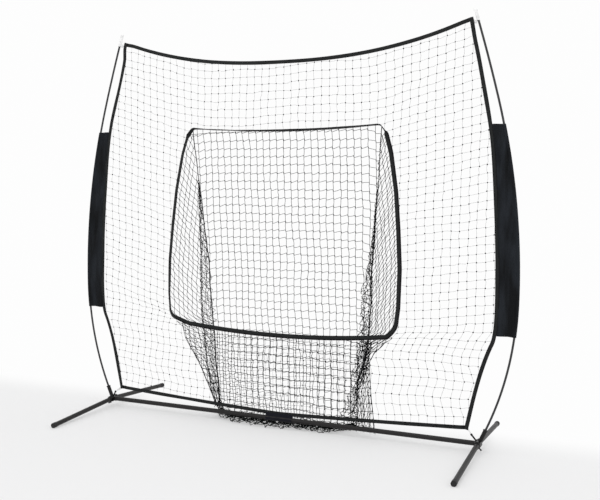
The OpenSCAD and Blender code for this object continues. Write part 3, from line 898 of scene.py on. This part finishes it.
def make_side(sign, side):
    """A side panel, folded in small pleats, whose rows fall towards the back seam."""
    if sign > 0:
        fall, pitch, low_pitch, step, fold = 0.036, 0.0235, 0.041, 0.027, 0.002
    else:
        fall, pitch, low_pitch, step, fold = 0.026, 0.032, 0.032, 0.026, 0.005
    steps = np.arange(0, 10)
    rows = np.concatenate([
        np.arange(BACK_TOP + 0.35, 0.66, -pitch), np.arange(0.64, -0.05, -low_pitch)
    ])
    s, z = np.meshgrid(steps * step, rows)
    flat = np.stack([s, z], -1)
    belly = 0.010 * np.sin(np.clip(s / 0.18, 0, 1) * math.pi)
    n = np.where(steps % 2 == 0, fold, -fold)[None] - belly + 0.004 * ripple(flat, 0.3, 41)
    s = s + 0.003 * ripple(flat, 0.25, 42) + rng.normal(0, 0.0015, s.shape)
    z = z - fall * steps[None] + 0.005 * ripple(flat, 0.3, 43) + rng.normal(0, 0.0022, s.shape)

    def width(z):
        return np.linalg.norm(seam_at(sign, z) - front_at(sign, z), axis=-1)

    def warp(points):
        s, n, z = points[..., 0:1], points[..., 1:2], points[..., 2]
        start, end = front_at(sign, z), seam_at(sign, z)
        back = unit(end - start)
        out = np.stack([-back[..., 1], back[..., 0]], -1) * -sign
        ease = np.clip(s / 0.02, 0, 1)
        return np.concatenate([start + back * s + out * n * ease, z[..., None]], -1)

    def keep(points):
        s, z = points[..., 0], points[..., 2]
        framed = inside(OPENING, warp(points)[..., [0, 2]]) | (z < 0.54)
        return (s > -0.001) & (s < width(z)) & (z < BACK_TOP) & (z > 0.02) & framed

    net = weave(np.stack([s, n, z], -1), keep, warp, slack=0.0022, sag=0.001, seed=36 + sign)
    tie_net(
        f"pocket_{side}_netting", net, f"pocket_{side}", radius=POCKET_TWINE * 0.95, knot=2.4
    )


def crumple(start, end, count, pitch, seed, loose):
    """Netting gathered between two curves [k, 3] side by side, as strands and knots."""
    made = np.random.default_rng(seed)
    at = np.linspace(0, 1, int(lengths(start)[-1] / pitch))
    a, b = at_shares(start, at), at_shares(end, at)
    share = np.linspace(0, 1, count)[None, :, None]
    knots = a[:, None] * (1 - share) + b[:, None] * share
    room = np.linalg.norm(b - a, axis=1)[:, None, None]
    spread = np.minimum(room / count * 0.9, loose)
    knots = knots + made.normal(0, 1, knots.shape) * np.concatenate([
        spread, spread * 1.2, np.full_like(spread, loose * 0.9)
    ], -1)
    return weave(settle(knots), slack=0.003, seed=seed)


# How wide the gathered band beside each seam is, by height.
GATHER = {
    -1: [[0.0, 0.02], [0.3, 0.055], [0.6, 0.06], [0.8, 0.05], [1.0, 0.03], [1.35, 0]],
    1: [[0.0, 0.03], [0.35, 0.045], [0.7, 0.045], [0.85, 0.03], [1.0, 0.01], [1.3, 0]],
}


def make_gathers():
    """The slack of the pocket bunched along its back seams."""
    for sign, side in ((-1, "left"), (1, "right")):
        z = np.linspace(GATHER[sign][-1][0], 0.30 if sign > 0 else 0.03, 60)
        seam = np.concatenate([seam_at(sign, z), z[:, None]], -1)
        wide = at_height(GATHER[sign], z)
        aside = seam - np.stack([wide, np.minimum(0.3 * wide, 0.012), 0 * z], -1)
        nets = [crumple(seam, aside, 6 if sign > 0 else 5, 0.021, 51 + sign, 0.008)]
        if sign < 0:
            nets.append(crumple(aside + [0.003, 0, 0], aside - [0.003, 0, 0], 3, 0.016, 54, 0.003))
        radius = POCKET_TWINE * (1.05 if sign > 0 else 0.85)
        tie_net(f"pocket_{side}_gather", joined(nets), radius=radius, knot=2.0)


def make_front():
    """The pocket's hanging front below the opening, drawn in to its edges."""
    columns, rows = np.arange(-18, 18) * 0.0365 + 0.004, 0.60 - np.arange(0, 15) * 0.0415
    x, z = np.meshgrid(columns, rows)
    flat = np.stack([x, z], -1)
    x = x + 0.004 * ripple(flat, 0.3, 61) + rng.normal(0, 0.0022, x.shape)
    z = z - 0.02 * x + 0.006 * ripple(flat, 0.3, 62) + rng.normal(0, 0.0022, x.shape)
    y = np.interp(z, [0.03, 0.2, 0.5, 0.6], [0.032, 0.03, 0.012, 0.004])
    y = y + 0.006 * ripple(flat, 0.2, 63)
    edge = opening_part(OPENING[:, 1] < 0.60, 0)

    def keep(points):
        x, z = points[..., 0], points[..., 2]
        return (z < np.interp(x, *edge)) & (z > 0.02)

    def warp(points):
        moved = points.copy()
        x, z = points[..., 0], points[..., 2]
        soft = 0.014
        left, right = -at_height(FRONT[-1], z), at_height(FRONT[1], z)
        x = left + soft * np.logaddexp(0, (x - left) / soft)
        moved[..., 0] = right - soft * np.logaddexp(0, (right - x) / soft)
        return settle(moved)

    net = weave(
        np.stack([x, y, z], -1), keep, warp, slack=0.0022, kink=0.0025, sag=0.001, seed=64
    )
    tie_net("pocket_front_netting", net, "pocket_front", radius=POCKET_TWINE * 1.15, knot=2.2)


# The bunched rope of net at the right, between its two edges from the opening to the ground:
# it is tied by a knot and fans out below it.
ROPE_LEFT = [[0.44, 0.06, 0.50], [0.435, 0.05, 0.35], [0.41, 0.04, 0.25], [0.38, 0.045, 0.17],
             [0.34, 0.05, 0.07]]
ROPE_RIGHT = [[0.51, 0.04, 0.50], [0.495, 0.04, 0.35], [0.44, 0.04, 0.25], [0.435, 0.045, 0.17],
              [0.44, 0.05, 0.05]]


def make_rope():
    share = np.linspace(0, 1, 50)
    left, right = (
        at_shares(resample(rounded(np.array(edge), 2, closed=False), 0.01), share)
        for edge in (ROPE_LEFT, ROPE_RIGHT)
    )
    nets = [
        crumple(left, right, 6, 0.022, 71, 0.009),
        crumple(left * 0.35 + right * 0.65, right, 4, 0.020, 72, 0.008),
    ]
    tie_net("pocket_rope", joined(nets), radius=POCKET_TWINE * 1.05, knot=1.8)


def make_pile():
    """The slack netting piled on the ground under and behind the crossbar."""
    edge = np.array([
        [-0.43, 0.10], [-0.40, 0.05], [-0.28, -0.03], [-0.10, -0.035], [0.30, -0.01], [0.40, 0.11],
    ])
    for layer in range(3):
        made = np.random.default_rng(80 + layer)
        columns, rows = 46, 8
        share = np.linspace(0, 1, columns)
        x = edge[0, 0] + (edge[-1, 0] - edge[0, 0]) * share
        front = np.interp(x, edge[:, 0], edge[:, 1])
        depth = np.linspace(0.3 if layer == 2 else 0, 1 - 0.2 * layer, rows)[:, None] ** 0.75
        y = front + (PILE_Y + 0.135 - front) * depth + made.normal(0, 0.006, (rows, columns))
        y[:2] += made.uniform(-0.010, 0.010, (2, columns))
        x = x[None] + made.normal(0, 0.007, (rows, columns))
        lumps = 1 + ripple(np.stack([x, y * 2], -1), 0.12, 83 + layer)
        z = CLEAR + (0.009 + 0.006 * layer) * lumps * (1.1 - 0.8 * depth)
        z = np.clip(z + made.normal(0, 0.003, z.shape), 0.003, 0.030)
        net = weave(np.stack([x, y, z], -1), warp=settle, slack=0.004, seed=86 + layer)
        # Its twine is painted darker than the pocket's: painted shade inside the pile.
        tie_net(
            f"pocket_pile_{layer + 1}", net, *(["pocket_floor"] if layer == 0 else []),
            radius=POCKET_TWINE * 1.25, knot=1.5, finish="shaded_bunch_twine",
        )


def seam_cord(sign, side):
    """The corded seam down a back corner of the pocket: a lashed cord."""
    low = 0.03 if sign < 0 else 0.27
    z = np.linspace(BACK_TOP + 0.010, low, 90)
    flat = np.stack([0 * z, z], -1)
    path = np.concatenate([seam_at(sign, z), z[:, None]], -1)
    path[:, 0] += 0.003 * ripple(flat, 0.3, 101 + sign)
    path[:, 1] += 0.003
    thick = np.interp(z, [0.5, 1.3], [0.0034, 0.0022])
    shape = Shape()
    shape.tubes(path[None], (thick + 0.0005 * ripple(flat, 0.07, 105))[None], 8)
    loops = 190
    share = np.linspace(0, 1, loops * 6)
    spot = at_shares(path, share)
    turn = share * loops * 2 * math.pi
    reach = np.interp(share, [0, 1], [0.0026, 0.0038])[:, None]
    coil = spot + reach * np.stack([np.cos(turn), np.sin(turn), 0 * turn], -1)
    shape.tubes(coil[None], 0.0007)
    shape.make(f"{side}_pocket_seam", "pocket_twine")


def make_pocket():
    make_back()
    for sign, side in ((-1, "left"), (1, "right")):
        make_side(sign, side)
        seam_cord(sign, side)
    make_gathers()
    make_front()
    make_rope()
    make_pile()


# ---- Webbing

def tape_axes(path, across):
    """A tape's width direction, squared to its path, and the direction out of its face."""
    along = unit(np.gradient(path, axis=0))
    across = unit(across - along * (across * along).sum(axis=1, keepdims=True))
    return across, np.cross(along, across)


def tape_rings(path, width, thick, across):
    """Cross-sections of a soft flat tape along path [k, 3], as wide as width towards across."""
    across, out = tape_axes(path, across)
    points = 12
    turn = np.linspace(0, 2 * math.pi, points, endpoint=False) + math.pi / points
    c, s = np.cos(turn), np.sin(turn)
    u = (np.sign(c) * np.abs(c) ** 0.35)[:, None]
    v = (np.sign(s) * np.abs(s) ** 0.8)[:, None]
    width = np.broadcast_to(np.asarray(width, float), (len(path),))[:, None, None]
    return path[:, None] + width / 2 * u * across[:, None] + thick / 2 * v * out[:, None]


def stitch(tape, path, across, width, thick):
    """Two rows of raised stitches along both faces of a hem, as a piece of their own."""
    inset, pitch = 0.0028, 0.0065
    across, out = tape_axes(path, across)
    far = lengths(path)
    starts = np.arange(pitch, far[-1] - pitch, pitch)
    thread = Shape()
    for edge in (-1, 1):
        for face in (-1, 1):
            parts = []
            for share, lift in ((0.0, -0.0002), (0.2, 0.00045), (0.5, 0.0006), (0.75, -0.0002)):
                at = starts + share * pitch
                spot, aside, outward = (
                    np.stack([np.interp(at, far, a[:, i]) for i in range(3)], -1)
                    for a in (path, across, out)
                )
                sunk = spot + aside * edge * (width / 2 - inset)
                parts.append(sunk + outward * face * (thick / 2 + lift))
            thread.tubes(np.stack(parts, 1), STITCH, 4)
    stitches = thread.make(tape.name + "_stitching", "black_webbing", finish="thread")


def make_hem(node, line, seed, lap=0.0):
    """A hem in the plane of the net along line [k, 2], with its stitching as a second piece.

    Its ends step back by lap, to lie behind the hems that they cross.
    """
    spacing = 0.012
    path = upright(resample(line, spacing))
    run = np.stack([np.arange(len(path)) * spacing, 0 * path[:, 0]], -1)
    path[:, 1] += 0.0014 * ripple(run, 0.5, seed)
    ends = np.minimum(run[:, 0], run[-1, 0] - run[:, 0])
    path[:, 1] += lap * smooth_step(0.045, 0.022, ends)
    along = unit(np.gradient(path, axis=0))
    back = np.array([0, 1.0, 0])
    across = np.cross(along, back) + back * 0.10 * ripple(run, 0.4, seed + 1)[:, None]
    wide = HEM_W * (1 + 0.03 * ripple(run, 0.3, seed + 2))
    shape = Shape()
    shape.loft(tape_rings(path, wide, HEM_T, across))
    stitch(shape.make(node + "_tape", "black_webbing", node), path, across, HEM_W, HEM_T)


def make_hems():
    for sign, side in ((-1, "left"), (1, "right")):
        make_hem(f"{side}_hem", side_line(sign), 3 + sign)
    make_hem("top_hem", top_line(), 9, LAP)
    make_hem("bottom_hem", low_line(), 12, LAP)


def make_opening_hem():
    """The tape round the opening: flat at the right and bottom, twisted edge-on along the top."""
    path = upright(np.concatenate([OPENING, OPENING[:1]]))
    far = lengths(path)
    centre = path.mean(axis=0)
    along = unit(np.gradient(path, axis=0))
    inward = unit(np.cross([0, 1.0, 0], along))
    inward *= np.sign(((centre - path) * inward).sum(axis=1, keepdims=True))
    x, z = path[:, 0], path[:, 2]
    high = smooth_step(1.594, 1.612, z)
    left = smooth_step(0.55, 0.62, z) + 0.5 * smooth_step(0.85, 0.65, z)
    left = smooth_step(-0.5, -0.6, x) * left
    run = np.stack([far, 0 * far], -1)
    twist = np.radians(
        6 + 70 * high - 28 * left * (1 - high) + 14 * ripple(run, 0.45, 31) * (high + 0.3)
    )
    across = inward * np.cos(twist)[:, None] + np.array([0, 1.0, 0]) * np.sin(twist)[:, None]
    across[-1], path[-1] = across[0], path[0]
    rings = tape_rings(path, EDGE_W, EDGE_T, across)
    shape = Shape()
    shape.loft(rings[:-1], closed_path=True)
    tape = shape.make(
        "opening_hem_tape", "black_webbing", "opening_top_hem", "opening_bottom_hem",
        "opening_left_hem", "opening_right_hem",
    )
    stitch(tape, path, across, EDGE_W, EDGE_T)


def make_strap():
    """The wide hook-and-loop wrap that ties the bottom hem to the crossbar."""
    low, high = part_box("centre_strap")
    tube_low, tube_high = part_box("right_crossbar")
    centre_z, tube_r = (tube_low.z + tube_high.z) / 2, (tube_high.z - tube_low.z) / 2
    half, clear, thick = (high.x - low.x) / 2, 0.0006, 0.0016
    turn = np.linspace(-0.12, math.pi + 0.12, 25) + math.pi
    radius = tube_r + clear + thick / 2
    lower = np.stack([radius * np.cos(turn), centre_z + radius * np.sin(turn)], 1)
    top = high.z - 0.004
    back_run = np.array([[-0.0035, top], [-0.0048, top - 0.010], [-0.0072, top - 0.022]])
    front_run = back_run[::-1] * [-1, 1]
    middle = resample(np.concatenate([back_run, lower, front_run]), 0.0022)
    middle = rounded(middle, 1, closed=False)
    tangent = unit(np.gradient(middle, axis=0))
    normal = np.stack([-tangent[:, 1], tangent[:, 0]], 1)
    rings = []
    for x in np.linspace(-half, half, 41):
        edge = 1 - smooth_step(0, 0.006, half - abs(x))
        wave = 0.0005 * ripple(np.stack([np.full(len(middle), x), middle[:, 1] * 3], -1), 0.06, 7)
        puff = (thick / 2) * (1 - 0.45 * edge)
        section = np.concatenate([
            middle + normal * (wave + puff)[:, None],
            (middle + normal * (wave - puff)[:, None])[::-1],
        ])
        sag = -0.0008 * ripple(np.array([[x, 0.0]]), 0.08, 9)[0]
        rings.append(np.stack([np.full(len(section), x), section[:, 0], section[:, 1] + sag], 1))
    shape = Shape()
    shape.loft(np.array(rings))
    strap = shape.make("centre_strap_wrap", "strap_fabric", "centre_strap")
    thread = Shape()
    for x in (-half + 0.004, half - 0.004):
        line = np.stack([np.full(len(middle), x), middle[:, 0], middle[:, 1]], 1)
        outward = np.stack([0 * middle[:, 0], -normal[:, 0], -normal[:, 1]], 1)
        far = np.arange(len(line) // 2) * 2
        parts = [
            line[far] + outward[far] * (thick / 2 + lift) + (line[far + 1] - line[far]) * share
            for share, lift in ((0, -0.0002), (0.5, 0.0004), (1.2, -0.0002))
        ]
        thread.tubes(np.stack(parts, 1), STITCH, 4)
    stitches = thread.make("centre_strap_stitching", "strap_fabric", finish="thread")
    float(lengths(middle)[-1])


# ---- Sleeves, tip pockets and ties

def pole_line(sign, z_low, z_high, count):
    """The pole's middle line between two heights, from the rings of points on the CAD poles."""
    points = np.concatenate([cad_points("right_lower_pole"), cad_points("right_upper_pole")])
    points = points[np.argsort(points[:, 2])]
    rings = np.split(points, np.nonzero(np.diff(points[:, 2]) > 0.008)[0] + 1)
    mids = np.array([(r.min(axis=0) + r.max(axis=0)) / 2 for r in rings])
    z = np.linspace(z_low, z_high, count)
    return np.stack([sign * np.interp(z, mids[:, 2], mids[:, 0]), z], 1)


def make_sleeve(sign, side):
    """A doubled cloth panel between the net's hem and the pole, closed round the pole."""
    low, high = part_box(f"{side}_sleeve")
    count, flat_count, thick, reach = 150, 22, 0.0009, 0.0088
    half_gap, wrap_from = 0.0008, 0.62
    pole = pole_line(sign, low.z + 0.002, high.z - 0.002, count)
    z = pole[:, 1]
    edge_line = side_line(sign)
    edge = np.interp(z, edge_line[:, 1], edge_line[:, 0]) + sign * 0.004
    turn = np.linspace(wrap_from, 2 * math.pi - wrap_from, 17)[1:-1]
    t = np.linspace(0, 1, flat_count)
    opened = reach * math.sin(wrap_from)
    gap = half_gap + (opened - half_gap) * smooth_step(0.72, 1.0, t)
    middles, spread = [], []
    for i in range(count):
        x_in, x_pole = edge[i] * sign, pole[i, 0] * sign
        panel_x = x_in + (x_pole - reach * math.cos(wrap_from) - x_in) * t
        inner = np.stack([panel_x, gap], 1)
        wrap = np.stack([x_pole - reach * np.cos(turn), reach * np.sin(turn)], 1)
        outer = np.stack([panel_x[::-1], -gap[::-1]], 1)
        middles.append(np.concatenate([inner, wrap, outer]))
        spread.append(np.concatenate([t, np.ones(len(turn)), t[::-1]]))
    middles, spread = np.array(middles), np.array(spread)
    height = np.broadcast_to(z[:, None], spread.shape)
    flat = np.stack([middles[..., 0] + 0.55 * height, height * 0.35], -1)
    crease = ripple(flat, 0.10, 140 + sign) * np.sin(math.pi * np.clip(spread, 0, 1)) ** 0.7
    loose = ripple(np.stack([middles[..., 0], height], -1), 0.16, 150 + sign)
    middles[..., 1] += (0.0060 * crease + 0.0020 * loose) * (spread < 1)
    tangent = unit(np.gradient(middles, axis=1))
    normal = np.stack([-tangent[..., 1], tangent[..., 0]], -1)
    section = np.concatenate([
        middles + normal * thick / 2, (middles - normal * thick / 2)[:, ::-1]
    ], 1)
    hang = 0.0012 * ripple(section * 3 + z[:, None, None], 0.2, 160)
    ends = smooth_step(0.02, 0, np.minimum(z - z[0], z[-1] - z))[:, None]
    rings = np.stack([
        sign * section[..., 0], section[..., 1],
        np.broadcast_to(z[:, None], section.shape[:2]) + hang * ends,
    ], -1)
    shape = Shape()
    shape.loft(rings if sign > 0 else rings[:, ::-1])
    sleeve = shape.make(f"{side}_sleeve_cloth", "sleeve_fabric", f"{side}_sleeve")
    length = float(lengths(pole)[-1])
    hem_lines = Shape()
    for row in (4, count - 5):
        for face in (1, -1):
            half = middles[row, :flat_count] if face > 0 else middles[row, -flat_count:][::-1]
            run = np.stack([sign * half[:, 0], half[:, 1], np.full(flat_count, z[row])], 1)
            run = resample(run[2:-2], 0.0035)
            out = np.array([0, face * thick / 2, 0])
            pairs = np.arange(0, len(run) - 1, 2)
            start, end = run[pairs], run[pairs + 1]
            parts = [start + out * 0.2, (start + end) / 2 + out * 2.0, end + out * 0.2]
            hem_lines.tubes(np.stack(parts, 1), STITCH, 4)
    hem_lines.make(f"{side}_sleeve_stitching", "sleeve_fabric", finish="thread")


def make_tip_pocket(sign, side):
    """The white webbing pocket over a pole's tip: a flattened tube, sewn shut at the top."""
    low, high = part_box(f"{side}_tip_pocket")
    count, sides = 40, 32
    z = np.linspace(low.z + (0.001 if sign > 0 else -0.006), high.z, count)
    t = (z - z[0]) / (z[-1] - z[0])
    middle = (low.x + high.x) / 2
    lean = pole_line(sign, 2.10, 2.17, 2)
    slope = (lean[1, 0] - lean[0, 0]) / (lean[1, 1] - lean[0, 1])
    x = middle + slope * (z - (low.z + high.z) / 2)
    closing = np.sqrt(1 - np.clip((t - 0.86) / 0.145, 0, 1) ** 2)
    deep = 0.0082 * closing
    wide = 0.0088 * (0.45 + 0.55 * closing)
    turn = np.linspace(0, 2 * math.pi, sides, endpoint=False)
    place = np.stack(np.broadcast_arrays(np.cos(turn), t[:, None] * 2), -1)
    grow = 1 + 0.03 * ripple(place, 1.0, 170)
    rings = np.stack([
        x[:, None] + wide[:, None] * np.cos(turn) * grow,
        deep[:, None] * np.sin(turn) * grow,
        np.broadcast_to(z[:, None], (count, sides)),
    ], -1)
    shape = Shape()
    shape.loft(rings)
    shape.make(f"{side}_tip_webbing", "white_webbing", f"{side}_tip_pocket")


def make_tie(side, kind):
    """A short white tape between a corner of the net and the frame."""
    points = cad_points(f"{side}_{kind}_tie")
    inner = np.argsort(np.abs(points[:, 0]))
    start, end = points[inner[:4]].mean(axis=0), points[inner[-4:]].mean(axis=0)
    if kind == "top":
        start[0] -= math.copysign(0.009, start[0])
    t = np.linspace(0, 1, 14)[:, None]
    path = start * (1 - t) + end * t
    path[:, 1] += 0.002 * np.sin(math.pi * t[:, 0])
    path[:, 2] -= 0.0015 * np.sin(math.pi * t[:, 0])
    width = 0.016 if kind == "top" else 0.011
    twist = np.radians(12) * np.sin(2 * math.pi * t[:, 0])
    across = np.stack([0 * twist, np.sin(twist), np.cos(twist)], 1)
    shape = Shape()
    shape.loft(tape_rings(path, width, 0.0018, across))
    tape = shape.make(f"{side}_{kind}_tape", "white_webbing", f"{side}_{kind}_tie")


# ---- Build

make_camera()
make_light()
make_floor()
finishes = make_materials()
dress_cad()
make_face_net()
make_pocket()
make_hems()
make_opening_hem()
make_strap()
for direction, hand in ((-1, "left"), (1, "right")):
    make_sleeve(direction, hand)
    make_tip_pocket(direction, hand)
    for end in ("top", "bottom"):
        make_tie(hand, end)
